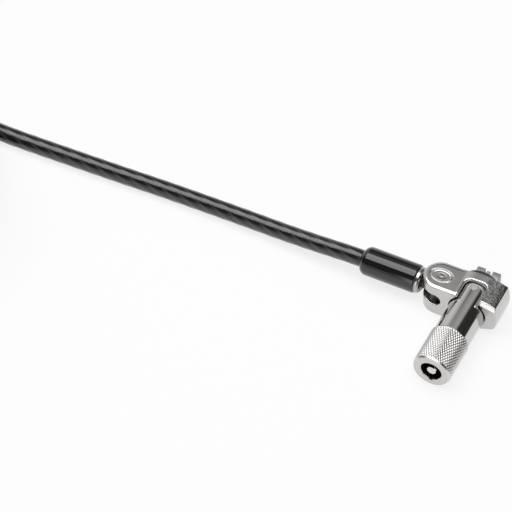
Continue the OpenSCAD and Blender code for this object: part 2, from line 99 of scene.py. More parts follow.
class Graph:
    """A node tree, with a short call for each kind of node that the materials and the world use."""

    def __init__(self, tree):
        self.nodes = tree.nodes
        self.link = tree.links.new

    def place(self, scale=(1, 1, 1)):
        """The object's own coordinates, times scale."""
        source = self.nodes.new("ShaderNodeTexCoord")
        mapping = self.nodes.new("ShaderNodeMapping")
        mapping.inputs["Scale"].default_value = scale
        self.link(source.outputs["Object"], mapping.inputs["Vector"])
        return mapping.outputs["Vector"]

    def split(self, vector):
        """The x, y and z of a vector."""
        node = self.nodes.new("ShaderNodeSeparateXYZ")
        self.link(vector, node.inputs["Vector"])
        return tuple(node.outputs)

    def noise(self, vector, scale, detail=4.0):
        node = self.nodes.new("ShaderNodeTexNoise")
        node.inputs["Scale"].default_value = scale
        node.inputs["Detail"].default_value = detail
        self.link(vector, node.inputs["Vector"])
        return node.outputs["Fac"]

    def map_range(self, value, start, end, low=0.0, high=1.0, kind="LINEAR"):
        """Goes from low to high while value goes from start to end, and stays there beyond."""
        node = self.nodes.new("ShaderNodeMapRange")
        node.interpolation_type = kind
        for name, number in (("From Min", start), ("From Max", end), ("To Min", low), ("To Max", high)):
            node.inputs[name].default_value = number
        self.link(value, node.inputs["Value"])
        return node.outputs["Result"]

    def rise(self, value, start, end, low=0.0, high=1.0):
        """As map_range, with a soft start and end."""
        return self.map_range(value, start, end, low, high, "SMOOTHSTEP")

    def spread(self, value, low, high):
        """Maps a 0 to 1 value to low to high."""
        return self.map_range(value, 0, 1, low, high)

    def calculate(self, operation, *values, clamp=False):
        """A math node whose inputs are sockets or numbers."""
        node = self.nodes.new("ShaderNodeMath")
        node.operation = operation
        node.use_clamp = clamp
        for socket, value in zip(node.inputs, values):
            if isinstance(value, (int, float)):
                socket.default_value = value
            else:
                self.link(value, socket)
        return node.outputs[0]

    def product(self, result, *factors):
        for factor in factors:
            result = self.calculate("MULTIPLY", result, factor)
        return result

    def mix(self, share, first, second):
        """A colour between two. Each is a socket or three numbers."""
        node = self.nodes.new("ShaderNodeMix")
        node.data_type = "RGBA"
        for name, colour in (("A", first), ("B", second)):
            if isinstance(colour, tuple):
                node.inputs[name].default_value = (*colour, 1)
            else:
                self.link(colour, node.inputs[name])
        self.link(share, node.inputs["Factor"])
        return node.outputs["Result"]


class Finish(Graph):
    """A Principled material. base and roughness are the plain values that its nodes then vary."""

    def __init__(self, name, base, roughness, metallic=0.0):
        self.material = bpy.data.materials.new(name)
        self.material.use_nodes = True
        super().__init__(self.material.node_tree)
        self.shader = self.nodes["Principled BSDF"]
        self.fix("Base Color", (*base, 1))
        self.fix("Roughness", roughness)
        self.fix("Metallic", metallic)

    def fix(self, name, value):
        """A value that is the same all over the surface."""
        self.shader.inputs[name].default_value = value

    def feed(self, name, socket):
        """A value that varies over the surface."""
        self.link(socket, self.shader.inputs[name])

    def clear_coat(self, weight, roughness, ior):
        self.fix("Coat Weight", weight)
        self.fix("Coat Roughness", roughness)
        self.fix("IOR", ior)

    def colour(self, share, first, second):
        self.feed("Base Color", self.mix(share, first, second))

    def roughness(self, vector, scale, low, high, detail=4.0):
        """Roughness that wanders between low and high."""
        self.feed("Roughness", self.spread(self.noise(vector, scale, detail), low, high))

    def bump(self, height, distance, strength, below=None):
        """Relief of that distance, on top of the bump below if there is one."""
        node = self.nodes.new("ShaderNodeBump")
        node.inputs["Distance"].default_value = distance
        node.inputs["Strength"].default_value = strength
        self.link(height, node.inputs["Height"])
        if below is not None:
            self.link(below, node.inputs["Normal"])
        self.feed("Normal", node.outputs["Normal"])
        return node.outputs["Normal"]


# ---------- materials ----------


def cast_nickel():
    """Nickel plate over a die casting: orange peel, and on top of the shoulder a mottled dark patch that is a
    painted reflection, with a slight relief.
    """
    finish = Finish("cast_nickel", (0.58, 0.57, 0.55), 0.2, 1)
    place = finish.place()
    x, y, z = finish.split(place)
    # Painted reflection: the dark mottled patch on top of the shoulder, right of the window and behind the
    # bevel, stands for a dark reflection, and its mottle also gives a slight bump.
    right_half = finish.rise(x, 1.9 * MM, 2.8 * MM)
    on_top = finish.rise(z, 4.15 * MM, 4.35 * MM)
    behind_bevel = finish.rise(y, -8.9 * MM, -8.6 * MM)
    grain = finish.spread(finish.noise(place, 2300, 2), -0.9, 2.0)
    patch = finish.product(right_half, on_top, behind_bevel)
    painted_reflection_mottle = finish.calculate("MULTIPLY", grain, patch, clamp=True)
    plate = finish.mix(finish.noise(place, 260), (0.53, 0.52, 0.505), (0.62, 0.61, 0.595))
    finish.colour(painted_reflection_mottle, plate, (0.15, 0.15, 0.16))
    finish.roughness(place, 420, 0.13, 0.27, 6)
    peel = finish.bump(finish.noise(place, 900, 3), 0.02 * MM, 0.4)
    finish.bump(painted_reflection_mottle, 0.03 * MM, 0.5, below=peel)
    return finish.material


def turned_nickel(name, base, low, high, stretch=(300, 9000, 300), metallic=1):
    """Nickel plate over a turned part: fine lines across the direction in which stretch is large."""
    finish = Finish(name, base, 0.16, metallic)
    finish.roughness(finish.place(), 350, low, high, 6)
    finish.bump(finish.noise(finish.place(stretch), 1, 3), 0.004 * MM, 0.35)
    return finish.material


def steel(name, base, low, high):
    """Bare steel with a brushed grain and darker patches."""
    finish = Finish(name, base, 0.35, 1)
    place = finish.place()
    darker = tuple(c * 0.75 for c in base)
    finish.colour(finish.noise(place, 500), darker, base)
    finish.roughness(place, 700, low, high, 6)
    finish.bump(finish.noise(finish.place((400, 400, 4000)), 1, 4), 0.01 * MM, 0.4)
    return finish.material


def brass():
    """Machined brass, a little tarnished."""
    finish = Finish("brass", (0.7, 0.54, 0.25), 0.3, 1)
    place = finish.place()
    finish.colour(finish.noise(place, 600), (0.5, 0.36, 0.15), (0.74, 0.58, 0.28))
    finish.roughness(place, 900, 0.25, 0.5)
    finish.bump(finish.noise(place, 2500), 0.01 * MM, 0.4)
    return finish.material


def keyed_plug():
    """Bright nickel on the keyway's centre post, and the plug's face behind it darkened with painted shade
    deep in the keyway.
    """
    finish = Finish("keyed_plug", (0.6, 0.59, 0.57), 0.25, 1)
    place = finish.place()
    # Painted shade: the colour darkens to near black with depth into the keyway.
    depth = finish.map_range(finish.split(place)[1], -28.6 * MM, -27.2 * MM)
    finish.colour(depth, (0.7, 0.69, 0.66), (0.018, 0.017, 0.016))
    finish.roughness(place, 900, 0.18, 0.4)
    finish.bump(finish.noise(place, 2500), 0.01 * MM, 0.4)
    return finish.material


def sleeve_plastic():
    """Glossy moulded plastic with faint swirls."""
    finish = Finish("sleeve_plastic", (0.008, 0.008, 0.009), 0.07)
    finish.clear_coat(0.5, 0.05, ior=1.5)
    place = finish.place()
    finish.roughness(place, 500, 0.05, 0.1, 6)
    finish.bump(finish.noise(place, 1500, 3), 0.006 * MM, 0.3)
    return finish.material


STRANDS = 6
LAY = 27 * MM           # length in which a strand goes once round the cable
WIRES = 42              # fine wires that show round the cable


def cable_coating():
    """Smoked clear vinyl over twisted steel strands, which shimmer through it. UV runs along and round."""
    finish = Finish("cable_coating", (0.02, 0.02, 0.022), 0.16)
    finish.clear_coat(0.6, 0.12, ior=1.53)
    along, around, _ = finish.split(finish.nodes.new("ShaderNodeTexCoord").outputs["UV"])
    phase = finish.calculate("ADD", finish.calculate("MULTIPLY", along, 1 / LAY), around)
    strands, wires = (
        finish.calculate("SINE", finish.calculate("MULTIPLY", phase, 2 * math.pi * count))
        for count in (STRANDS, WIRES)
    )
    place = finish.place()
    finish.colour(finish.spread(strands, -0.1, 1), (0.008, 0.008, 0.009), (0.035, 0.035, 0.037))
    finish.roughness(place, 300, 0.12, 0.24)
    under = finish.bump(wires, 0.012 * MM, 0.25)
    finish.bump(finish.noise(place, 420, 2), 0.06 * MM, 0.25, below=under)
    return finish.material


def rubber():
    """Matte black rubber with a fine grain."""
    finish = Finish("rubber", (0.018, 0.018, 0.018), 0.6)
    place = finish.place()
    finish.roughness(place, 800, 0.5, 0.75)
    finish.bump(finish.noise(place, 3000), 0.02 * MM, 0.6)
    return finish.material


def tie_fabric():
    """Black hook-and-loop tape."""
    finish = Finish("tie_fabric", (0.03, 0.03, 0.032), 0.9)
    finish.fix("Sheen Weight", 0.4)
    place = finish.place()
    loops = finish.nodes.new("ShaderNodeTexVoronoi")
    loops.inputs["Scale"].default_value = 2200
    finish.link(place, loops.inputs["Vector"])
    finish.colour(finish.noise(place, 900), (0.02, 0.02, 0.022), (0.045, 0.045, 0.048))
    finish.bump(loops.outputs["Distance"], 0.2 * MM, 0.7)
    return finish.material


NICKEL = cast_nickel()
TUBE_NICKEL = turned_nickel("turned_nickel", (0.6, 0.585, 0.575), 0.08, 0.16)
GRIP_NICKEL = turned_nickel("knurled_nickel", (0.68, 0.67, 0.655), 0.25, 0.36)
FACE_NICKEL = turned_nickel("face_nickel", (0.61, 0.6, 0.585), 0.2, 0.34, (2500, 300, 2500))
RING_CHROME = turned_nickel("ring_chrome", (0.45, 0.44, 0.43), 0.16, 0.26, (9000, 300, 300))
PIN_NICKEL = turned_nickel("pin_nickel", (0.72, 0.71, 0.69), 0.22, 0.36, (3000, 3000, 300))
SATIN_NICKEL = turned_nickel("satin_nickel", (0.62, 0.61, 0.59), 0.5, 0.65, metallic=0.2)
STEEL = steel("turned_steel", (0.55, 0.55, 0.56), 0.25, 0.45)
CLAW_STEEL = steel("claw_steel", (0.46, 0.45, 0.45), 0.32, 0.5)
CRIMP = steel("crimp_aluminium", (0.68, 0.68, 0.7), 0.25, 0.4)
DARK_STEEL = steel("dark_steel", (0.075, 0.07, 0.065), 0.3, 0.5)
# Painted shade: near-black steel for the faces in the body's slot and bore and inside the keyway, where shade
# falls.
PAINTED_SHADE = steel("painted_shade_inside", (0.045, 0.042, 0.038), 0.45, 0.7)
BRASS = brass()
PLUG = keyed_plug()
SLEEVE_PLASTIC = sleeve_plastic()
COATING = cable_coating()
RUBBER = rubber()
FABRIC = tie_fabric()

# ---------- mesh helpers ----------


def place_mesh(name, mesh, material):
    """Puts a mesh in the scene as an object, shaded smooth."""
    mesh.shade_smooth()
    mesh.materials.append(material)
    piece = bpy.data.objects.new(name, mesh)
    bpy.context.scene.collection.objects.link(piece)
    return piece


def add_object(name, vertices, faces, material, smooth_angle=35, uv=None):
    """An object from vertices and faces. Edges sharper than smooth_angle, in degrees, stay crisp."""
    mesh = bpy.data.meshes.new(name)
    mesh.from_pydata([tuple(v) for v in vertices], [], faces)
    if uv is not None:
        layer = mesh.uv_layers.new(name="UVMap")
        layer.data.foreach_set("uv", np.asarray(uv, dtype=np.float32).ravel())
    mesh.validate()
    mesh.update()
    piece = place_mesh(name, mesh, material)
    mesh.set_sharp_from_angle(angle=math.radians(smooth_angle))
    return piece


def ring_faces(rings, around, closed=False):
    """Quads between neighbouring rings of vertices; with closed, the last ring joins the first."""
    faces = []
    for i in range(rings if closed else rings - 1):
        a, b = i * around, (i + 1) % rings * around
        for k in range(around):
            n = (k + 1) % around
            faces.append((a + k, b + k, b + n, a + n))
    return faces


def end_faces(rings, around):
    """The faces that close the first and the last ring."""
    last = (rings - 1) * around
    return [tuple(range(around)), tuple(last + k for k in reversed(range(around)))]


def turned_over(faces):
    return [tuple(reversed(face)) for face in faces]


def full_circle(steps):
    return np.linspace(0, 2 * math.pi, steps, endpoint=False)


def lathe(name, profile, material, axis, around, centre=(0, 0, 0), smooth_angle=35):
    """Turns a closed profile of (place along the axis, radius) round the axis, in a number of steps around.
    The profile has the solid on its right-hand side, seen with the axis to the right and the radius up."""
    angles = full_circle(around)
    rings = []
    for along, radius in profile:
        u, v = radius * np.cos(angles), radius * np.sin(angles)
        s = np.full_like(angles, along)
        rings.append(np.stack({"X": (s, u, v), "Y": (v, s, u), "Z": (u, v, s)}[axis], axis=1))
    vertices = np.concatenate(rings) + np.array(centre)
    faces = turned_over(ring_faces(len(profile), around, closed=True))
    return add_object(name, vertices, faces, material, smooth_angle)


def arc(centre, radius, start, end, steps=6):
    """Points of a profile's round corner, by angles in degrees."""
    return [
        (centre[0] + radius * math.cos(math.radians(a)), centre[1] + radius * math.sin(math.radians(a)))
        for a in np.linspace(start, end, steps)
    ]


def tube_uv(length, around):
    """Texture coordinates of a tube's faces: metres along it, and the share of its round."""
    uv = []
    for near, far in zip(length[:-1], length[1:]):
        for k in range(around):
            left, right = k / around, (k + 1) / around
            uv += [(near, left), (far, left), (far, right), (near, right)]
    return uv + [(0, 0)] * (2 * around)


def tube(name, path, radius_at, material, around):
    """A closed tube along a path. radius_at(length so far, angles) gives its radius all round."""
    step = np.linalg.norm(np.diff(path, axis=0), axis=1)
    length = np.concatenate([[0], np.cumsum(step)])
    heading = np.gradient(path, axis=0)
    heading /= np.linalg.norm(heading, axis=1)[:, None]
    side = np.cross(heading, (0, 0, 1))
    side /= np.linalg.norm(side, axis=1)[:, None]
    up = np.cross(side, heading)
    angles = full_circle(around)
    rings = [
        path[i] + radius_at(length[i], angles)[:, None]
        * (np.cos(angles)[:, None] * side[i] + np.sin(angles)[:, None] * up[i])
        for i in range(len(path))
    ]
    faces = ring_faces(len(path), around) + end_faces(len(path), around)
    return add_object(name, np.concatenate(rings), faces, material, 60, tube_uv(length, around))


def rounded_box(name, low, high, radius, material):
    """A box with rounded edges, from its lowest and highest corner."""
    made = bmesh.new()
    bmesh.ops.create_cube(made, size=1)
    low, high = Vector(low), Vector(high)
    for vertex in made.verts:
        vertex.co = Vector((low[i] + (high[i] - low[i]) * (vertex.co[i] + 0.5) for i in range(3)))
    bmesh.ops.bevel(made, geom=made.edges[:], offset=radius, segments=3, profile=0.5, affect="EDGES")
    mesh = bpy.data.meshes.new(name)
    made.to_mesh(mesh)
    made.free()
    return place_mesh(name, mesh, material)


# ---------- a mesh from a distance field ----------

CORNERS = [(a, b, c) for a in (0, 1) for b in (0, 1) for c in (0, 1)]
CELL_EDGES = [
    (a, tuple(a[i] + (i == axis) for i in range(3))) for a in CORNERS for axis in range(3) if not a[axis]
]


def smooth_max(a, b, k):
    """The larger of two distances, with the edge between them rounded by about k."""
    h = np.maximum(k - np.abs(a - b), 0) / k
    return np.maximum(a, b) + h * h * k / 4


def smooth_min(a, b, k):
    return -smooth_max(-a, -b, k)


def at_corner(grid, corner):
    """The grid's values at one corner of each of its cells."""
    return grid[tuple(slice(c, c + n - 1) for c, n in zip(corner, grid.shape))]


def crossing_cells(f):
    """Which cells the surface crosses, and for each a point in it, in steps: the mean of its cut edges."""
    inside = f < 0
    inside_corners = sum(at_corner(inside, corner).astype(int) for corner in CORNERS)
    crossed = (inside_corners > 0) & (inside_corners < len(CORNERS))
    cells = np.argwhere(crossed)
    total, hits = np.zeros((len(cells), 3)), np.zeros(len(cells))
    for a, b in CELL_EDGES:
        fa, fb = at_corner(f, a)[crossed], at_corner(f, b)[crossed]
        cut = (fa < 0) != (fb < 0)
        t = np.where(cut, fa / np.where(cut, fa - fb, 1), 0)
        total += (np.array(a) + t[:, None] * (np.array(b) - np.array(a))) * cut[:, None]
        hits += cut
    return crossed, cells + total / hits[:, None]


def settle(points, field, step, rounds=2):
    """Moves points onto the surface, down the field's slope and half a step at most in each round."""
    for _ in range(rounds):
        value = field(*points.T)
        slope = np.stack([
            (field(*(points + step / 8 * direction).T) - value) / (step / 8) for direction in np.eye(3)
        ], axis=1)
        move = slope * (value / np.maximum((slope ** 2).sum(1), 0.2))[:, None]
        points = points - np.clip(move, -step / 2, step / 2)
    return points


def grid_quads(inside, index):
    """A quad for each edge of the grid that the surface cuts, from the numbers of the four cells round it."""
    faces = []
    for axis in range(3):
        one, two = (axis + 1) % 3, (axis + 2) % 3
        start = tuple(slice(1, n - 1) if i != axis else slice(0, n - 1) for i, n in enumerate(inside.shape))
        end = tuple(slice(1, n - 1) if i != axis else slice(1, n) for i, n in enumerate(inside.shape))
        leaves, enters = inside[start] & ~inside[end], ~inside[start] & inside[end]
        for mask, flip in ((leaves, False), (enters, True)):
            base = np.argwhere(mask)
            base[:, one] += 1
            base[:, two] += 1
            quad = []
            for to_one, to_two in ((-1, -1), (0, -1), (0, 0), (-1, 0)):
                cell = base.copy()
                cell[:, one] += to_one
                cell[:, two] += to_two
                quad.append(index[tuple(cell.T)])
            quad = np.stack(quad[::-1] if flip else quad, axis=1)
            faces += quad[(quad >= 0).all(1)].tolist()
    return faces


def surface(name, field, low, high, step, material):
    """The surface on which field is 0, as a mesh with one point in each grid cell that it crosses."""
    axes = [np.arange(low[i] - 2 * step, high[i] + 3 * step, step) for i in range(3)]
    f = field(*np.meshgrid(*axes, indexing="ij"))
    crossed, places = crossing_cells(f)
    index = np.full(crossed.shape, -1)
    index[crossed] = np.arange(len(places))
    points = settle(places * step + np.array([axis[0] for axis in axes]), field, step)
    return add_object(name, points, grid_quads(f < 0, index), material, smooth_angle=180)


# ---------- the cable: free stretch, coil, tail and anchor loop ----------

COIL_PITCH = 4.9 * MM
COIL_TURNS = 254 / 24
COIL_LAYERS = 4
COIL_MID_RADIUS = 24.1 * MM
LAYER_TURNS = COIL_TURNS / COIL_LAYERS
COIL_OUTER = COIL_MID_RADIUS + COIL_PITCH * LAYER_TURNS / 2
COIL_INNER = COIL_MID_RADIUS - COIL_PITCH * LAYER_TURNS / 2
COIL_START = math.radians(90)
COIL_BASE_Z = FLOOR_Z + CABLE_R + 0.8 * MM
COIL_TOP_Z = COIL_BASE_Z + (COIL_LAYERS - 1) * COIL_PITCH
COIL_CENTRE = np.array([-155.5 * MM, -5.7 * MM - COIL_OUTER, 0])
POINTS_PER_TURN = 72
CLIMB_TURNS = 0.5       # part of a turn in which the cable climbs to the next layer

RUN_POINTS = np.array([
    (-29.9, -5.35, 0), (-32.2, -5.35, 0), (-34.5, -5.35, -0.1), (-43, -5.1, -1), (-52, -4.7, -1.9),
    (-61, -4.4, -2.4), (-71, -4.3, -2.7), (-84, -4.5, -2.8), (-98, -5, -2.8), (-112, -5.4, -2.8),
    (-126, -5.7, -2.8), (-137, -5.7, -2.5), (-145.1, -5.7, -2), (-148.1, -5.7, -2), (-151.1, -5.7, -2),
]) * MM

# The tail's points are in mm from the coil's centre and its top layer
TAIL_START = CABLE_D / MM       # it goes straight on from the coil for one diameter
TAIL_RISE = 6.3
TAIL_MIDDLE = [
    (27, -19, 2), (32, -13, 4.3), (35, -7, 5.9), (36.3, 0, TAIL_RISE), (34, 8, TAIL_RISE),
    (28.5, 13.8, TAIL_RISE),
]
LOOP_MIDDLE = [
    (6.3, 23.3), (2, 29.9), (-2.4, 36.5), (-9.7, 39.4), (-17.4, 37.6), (-22.7, 31.8), (-23.7, 23.9),
    (-20.1, 16.9), (-13.1, 13.2), (-5.3, 14.2), (2, 17),
]
CRIMP_LENGTH = 11
CRIMP_HEADING = math.radians(160)
CRIMP_MIDDLE = np.array([15.4, 19.25])
STRAND_GAP = 0.3                # between the two strands in the crimp


def smooth_route(points, step=1 * MM):
    """The smooth curve through the points, in steps of about that length."""
    before = 2 * points[0] - points[1]
    after = 2 * points[-1] - points[-2]
    p = np.concatenate([[before], points, [after]])
    curve = []
    for a, b, c, d in zip(p[:-3], p[1:-2], p[2:-1], p[3:]):
        count = max(1, int(round(np.linalg.norm(c - b) / step)))
        for t in np.arange(count) / count:
            curve.append((2 * b + (c - a) * t + (2 * a - 5 * b + 4 * c - d) * t ** 2
                          + (3 * b - a - 3 * c + d) * t ** 3) / 2)
    return np.array(curve + [points[-1]])


def coil_route():
    """Turns in four layers, which spiral in and out again and climb where the spiral reverses."""
    turns = np.arange(0, COIL_TURNS + 0.5 / POINTS_PER_TURN, 1 / POINTS_PER_TURN)
    layer = turns / LAYER_TURNS
    inward = layer - 2 * np.floor(layer / 2)
    radius = COIL_OUTER - COIL_PITCH * LAYER_TURNS * np.where(inward < 1, inward, 2 - inward)
    climbs = (k * LAYER_TURNS - CLIMB_TURNS / 2 for k in range(1, COIL_LAYERS))
    lift = sum(np.clip((turns - climb) / CLIMB_TURNS, 0, 1) for climb in climbs)
    angle = COIL_START + 2 * math.pi * turns
    return COIL_CENTRE + np.stack([
        radius * np.cos(angle), radius * np.sin(angle), COIL_BASE_Z + COIL_PITCH * lift], axis=1)


def tail_route():
    """From the coil's end over the coil, through the crimp, round the anchor loop and back into the crimp."""
    end = COIL_START + 2 * math.pi * COIL_TURNS
    heading = np.array([-math.sin(end), math.cos(end)])
    start = COIL_OUTER / MM * np.array([math.cos(end), math.sin(end)]) + TAIL_START * heading
    along = np.array([math.cos(CRIMP_HEADING), math.sin(CRIMP_HEADING)])
    left = np.array([-along[1], along[0]])
    crimp_in = CRIMP_MIDDLE - along * CRIMP_LENGTH / 2
    crimp_out = CRIMP_MIDDLE + along * CRIMP_LENGTH / 2
    shift = left * (CABLE_D / MM + STRAND_GAP)
    level = [crimp_in - 2.5 * along, crimp_in, CRIMP_MIDDLE, crimp_out]
    level += LOOP_MIDDLE
    level += [crimp_out + shift, CRIMP_MIDDLE + shift, crimp_in + shift + along]
    points = [(*start, 0), (*(start + 2 * heading), 0), (*(start + 4 * heading), 0.3)]
    points += TAIL_MIDDLE + [(*p, TAIL_RISE) for p in level]
    return np.array(points) * MM + COIL_CENTRE + np.array([0, 0, COIL_TOP_Z])


CABLE_ROUTE = np.concatenate([smooth_route(RUN_POINTS), coil_route(), smooth_route(tail_route())])
STRAND_DEPTH = 0.07 * MM


def cable_radius(length, angles):
    """Strands press softly through the coating."""
    return CABLE_R - STRAND_DEPTH * (0.5 - 0.5 * np.cos(STRANDS * (angles + 2 * math.pi * length / LAY)))


# Hook-and-loop bands hold the coil in two places. The middle of a band's thickness runs TIE_CORNER away from
# the middles of the coil's outermost cables, and sags a little between the corners.
TIE_ANGLES = (45, 225)
TIE_HALF_ARC = math.radians(12)
TIE_THICKNESS = 0.6 * MM
TIE_EDGE = 0.16 * MM            # half the thickness that is left at the edges
TIE_CORNER = CABLE_R + 0.45 * MM
TIE_CORNER_STEPS, TIE_SIDE_STEPS = 9, 12
TIE_SAG, TIE_SAGS = 0.12 * MM, 3        # depth, and how many from one corner to the next
FLAP_ARC = 0.96                 # the free end's width, as a share of the band's


def tie_course():
    """The band's way round the coil's section: distance from the coil's axis, height, outward direction."""
    corners = np.array([
        (COIL_OUTER, COIL_TOP_Z), (COIL_INNER, COIL_TOP_Z),
        (COIL_INNER, COIL_BASE_Z), (COIL_OUTER, COIL_BASE_Z),
    ])
    course = []
    for corner, following, start in zip(corners, np.roll(corners, -1, axis=0), (0, 90, 180, 270)):
        for angle in np.radians(np.linspace(start, start + 90, TIE_CORNER_STEPS)):
            out = np.array([math.cos(angle), math.sin(angle)])
            course.append((*(corner + TIE_CORNER * out), *out))
        for t in np.arange(1, TIE_SIDE_STEPS) / TIE_SIDE_STEPS:
            sag = TIE_SAG * (0.5 - 0.5 * math.cos(2 * math.pi * TIE_SAGS * t))
            course.append((*(corner + (following - corner) * t + (TIE_CORNER - sag) * out), *out))
    return np.array(course)


def tie_section(half_arc):
    """The band's section in order round it, as (angle, height), with thin edges and a seam near each."""
    half = TIE_THICKNESS / 2
    left = [(-1, TIE_EDGE), (-0.95, half), (-0.84, half), (-0.8, half * 0.6), (-0.76, half)]
    right = [(-share, height) for share, height in reversed(left)]
    under = [(1, -TIE_EDGE), (0.95, -half), (-0.95, -half), (-1, -TIE_EDGE)]
    return [(share * half_arc, height) for share, height in left + [(0, half)] + right + under]


def tie_strip(course, angle, lift, half_arc, closed):
    """Vertices and faces of one strip of tape, lifted off the course. It spans a fixed arc of the coil, so it
    is bunched on the inner side."""
    section = tie_section(half_arc)
    vertices = []
    for radius, height, out, up in course:
        for across, thick in section:
            r = radius + (thick + lift) * out
            turn = math.radians(angle) + across
            x, y = COIL_CENTRE[0] + r * math.cos(turn), COIL_CENTRE[1] + r * math.sin(turn)
            vertices.append((x, y, height + (thick + lift) * up))
    faces = ring_faces(len(course), len(section), closed)
    return vertices, faces if closed else faces + end_faces(len(course), len(section))


def make_tie_bands():
    """Both bands, each with the free end that lies over its outer side."""
    course = tie_course()
    flap = np.concatenate([course[-7:], course[:5]])
    vertices, faces = [], []
    for angle in TIE_ANGLES:
        strips = (
            tie_strip(course, angle, 0.0, TIE_HALF_ARC, closed=True),
            tie_strip(flap, angle, TIE_THICKNESS, TIE_HALF_ARC * FLAP_ARC, closed=False),
        )
        for points, quads in strips:
            faces += turned_over([len(vertices) + k for k in face] for face in quads)
            vertices += points
    bands = add_object("tie_bands", vertices, faces, FABRIC, 50)
    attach(bands, "cable")
    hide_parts("coil_ties")
    return bands


tie_bands = make_tie_bands()
cable = tube("cable", CABLE_ROUTE, cable_radius, COATING, around=30)
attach(cable, "cable")
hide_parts("cable_run", "cable_coil", "cable_tail")

# ---------- sleeve and swivel ----------

CABLE_AXIS = (0, MID * MM, 0)
STEPS_AROUND = 128


def make_sleeve():
    """The moulded sleeve over the cable's end, rounded towards the cable and hollow towards the ring."""
    outer, shoulder, lip, mouth = 3.65 * MM, 1.9 * MM, 0.8 * MM, 3.0 * MM
    left, right = SLEEVE_LEFT + 0.02 * MM, SLEEVE_RIGHT
    profile = [(left, CABLE_R), (left, CABLE_R + 0.1 * MM)]
    profile += arc((SLEEVE_LEFT + shoulder, outer - shoulder), shoulder, 160, 90, 14)
    profile += arc((right - lip, outer - lip), lip, 90, 0)
    profile += [(right, mouth), (right - 1 * MM, mouth), (SLEEVE_LEFT + 3 * MM, CABLE_R)]
    sleeve = lathe("sleeve", profile, SLEEVE_PLASTIC, "X", STEPS_AROUND, CABLE_AXIS)
    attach(sleeve, "cable")
    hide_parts("cable_sleeve")


def make_ferrule_ring():
    """The bright domed ring at the sleeve's mouth."""
    left, right = SLEEVE_RIGHT - 0.2 * MM, SLEEVE_RIGHT + 1.15 * MM
    outer, inner, dome, edge = 3.35 * MM, 1.66 * MM, 1.05 * MM, 0.1 * MM
    profile = [(left, inner), (left, outer - edge), (right - dome, outer)]
    profile += arc((right - dome, outer - dome), dome, 80, 10, 12)
    profile += [(right, outer - dome - edge), (right - edge, outer - dome - 2 * edge), (right - edge, inner)]
    ring = lathe("ferrule_ring_turned", profile, RING_CHROME, "X", STEPS_AROUND, CABLE_AXIS)
    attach(ring, "cable")
    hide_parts("ferrule_ring")


make_sleeve()
make_ferrule_ring()

# ---------- lock body: a distance field, in mm ----------

BODY_LOW, BODY_HIGH = (-13.15, FRONT, -HALF), (7.9, BACK, 5.7)
BODY_GRID = 0.1
SOFT, CRISP = 0.35, 0.12        # how much the edges are rounded
LOBE_RADIUS = 4.25
CHAMFER, CHAMFER_SLOPE = 0.62, math.radians(28)
BAND_SLOPE = math.radians(22)
CROWN_X, CROWN_Z, CROWN_RADIUS = 0.75, -11.53, 17.1
SIDE_X, SIDE_Z, SIDE_RADIUS = -4.55, 0.62, 12.4
HEAD_LEFT, BRIDGE_RIGHT = -5.2, 0.5
UNDERSIDE_X, UNDERSIDE_SLOPE = 2.8, math.radians(24.5)
BEVEL_POINT, BEVEL_NORMAL = (3, FRONT, 4.5), (0.1514, -0.8192, 0.5533)
WINDOW_LEFT, WINDOW_RIGHT, WINDOW_BACK, WINDOW_CORNER = -2.75, 3, -3.8, 1.3
STEM_SLOT, STEM_CAVITY = 1.75, 3            # half its height, and the cavity's radius at the pivot
BARREL_HOLE = 4.95
CLAW_HOLE_X, CLAW_HOLE_Z = 3.25, 1.5
PIN_HOLE, PIN_TOP = 1.2, 3.4
BADGE_X, BADGE_Y, BADGE_LENGTH, BADGE_WIDTH = -8.6, -5.5, 2.9, 1.95
GROOVE_FLOOR, FIELD_FLOOR = 4.86, 4.94


def head_section(x, z):
    """The crown that arches over the head, the side that bulges below its crisp edge, and the underside."""
    crown = np.hypot(x - CROWN_X, z - CROWN_Z) - CROWN_RADIUS
    side = np.hypot(x - SIDE_X, z - SIDE_Z) - SIDE_RADIUS
    underside = (x - UNDERSIDE_X) * math.sin(UNDERSIDE_SLOPE) - (z + HALF) * math.cos(UNDERSIDE_SLOPE)
    section = smooth_max(smooth_max(crown, side, CRISP), -HALF - z, SOFT)
    return np.maximum(smooth_max(section, underside, 0.6), HEAD_LEFT - x)


def head_part(x, y, z, depth):
    """The right half, which holds the barrel, with a chamfer on the front edge left of the barrel."""
    head = smooth_max(head_section(x, z), depth, 0.45)
    front_cut = (FRONT + CHAMFER - y) * math.sin(CHAMFER_SLOPE) + (z - HALF) * math.cos(CHAMFER_SLOPE)
    out_of_reach = np.clip(x, 0, 9) * 9         # ends the chamfer at the barrel's middle
    return smooth_max(head, front_cut - out_of_reach, CRISP)


def flat_part(x, y, z, depth, to_lobe):
    """The left half: the round lobe and the flat bridge to the head. Its top edge is a chamfer in front, and
    a shallower, softer band behind."""
    to_edge = np.where(x < LOBE_X, to_lobe - LOBE_RADIUS, np.abs(y - MID) - LOBE_RADIUS)
    chamfer_cut = (to_edge + CHAMFER) * math.sin(CHAMFER_SLOPE) + (z - HALF) * math.cos(CHAMFER_SLOPE)
    in_front = np.clip((MID + 2.5 - y) / 4, 0, 1)
    near_head = np.clip(x + 4.4, 0, 2)
    band_cut = to_edge * math.sin(BAND_SLOPE) + (z - HALF + 0.35) * math.cos(BAND_SLOPE)
    band_cut = band_cut - 1.2 * in_front - 0.4 * near_head
    flat = smooth_max(z - HALF, smooth_max(chamfer_cut, band_cut, 0.1), CRISP)
    sides = np.where(x < LOBE_X, to_lobe - LOBE_RADIUS, depth)
    return np.maximum(smooth_max(smooth_max(flat, -HALF - z, SOFT), sides, 0.1), x - BRIDGE_RIGHT)


